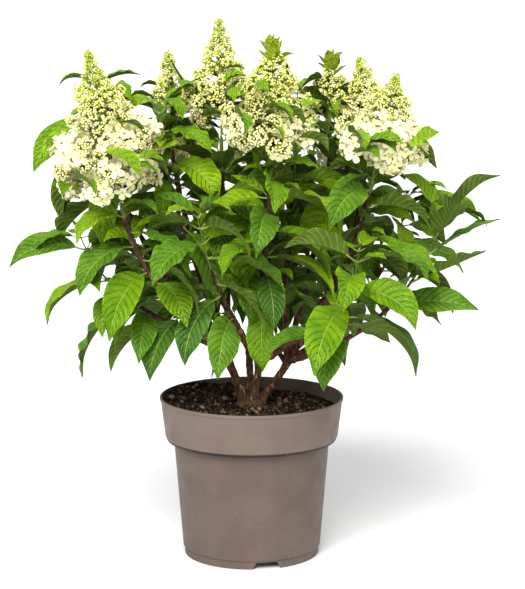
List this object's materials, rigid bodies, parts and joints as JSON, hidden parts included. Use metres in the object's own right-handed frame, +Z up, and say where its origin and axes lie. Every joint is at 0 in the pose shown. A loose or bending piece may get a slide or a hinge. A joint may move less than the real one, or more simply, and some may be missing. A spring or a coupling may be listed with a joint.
{
  "type": "potted panicle hydrangea shrub",
  "caption": "Panicle hydrangea in flower: woody stems branch low into leafy shoots with pointed cream flower heads, in a round taupe plastic nursery pot filled with soil.",
  "frame": {"origin": "centre of the pot's flat underside, on the ground", "axes": "+Z up, -Y towards the front of the plant, +X to the right seen from the front"},
  "size_m": [0.6024, 0.4608, 0.6686],
  "materials": {
    "pot_plastic": "matte",
    "potting_soil": "matte",
    "bark": "matte",
    "leaf": "satin",
    "blossom": "matte"
  },
  "bodies": {
    "root": {"back_centre_bough": "bark", "back_centre_flower_head": "blossom", "back_centre_foliage": "leaf", "back_left_bough": "bark", "back_left_flower_head": "blossom", "back_left_foliage": "leaf", "back_right_bough": "bark", "back_right_flower_head": "blossom", "back_right_foliage": "leaf", "centre_back_bough": "bark", "centre_back_flower_head": "blossom", "centre_back_foliage": "leaf", "centre_front_bough": "bark", "centre_front_flower_head": "blossom", "centre_front_foliage": "leaf", "centre_right_bough": "bark", "centre_right_foliage": "leaf", "front_left_bough": "bark", "front_left_foliage": "leaf", "front_right_bough": "bark", "front_right_foliage": "leaf", "left_back_bough": "bark", "left_back_flower_head": "blossom", "left_back_foliage": "leaf", "left_front_bough": "bark", "left_front_flower_head": "blossom", "left_front_foliage": "leaf", "left_inner_bough": "bark", "left_inner_foliage": "leaf", "left_low_bough": "bark", "left_low_foliage": "leaf", "left_side_bough": "bark", "left_side_foliage": "leaf", "pot": "pot_plastic", "right_back_bough": "bark", "right_back_flower_head": "blossom", "right_back_foliage": "leaf", "right_front_bough": "bark", "right_front_flower_head": "blossom", "right_front_foliage": "leaf", "right_low_bough": "bark", "right_low_foliage": "leaf", "right_outer_bough": "bark", "right_outer_flower_head": "blossom", "right_outer_foliage": "leaf", "right_side_bough": "bark", "right_side_foliage": "leaf", "soil": "potting_soil", "woody_foot": "bark"}
  },
  "joints": []
}
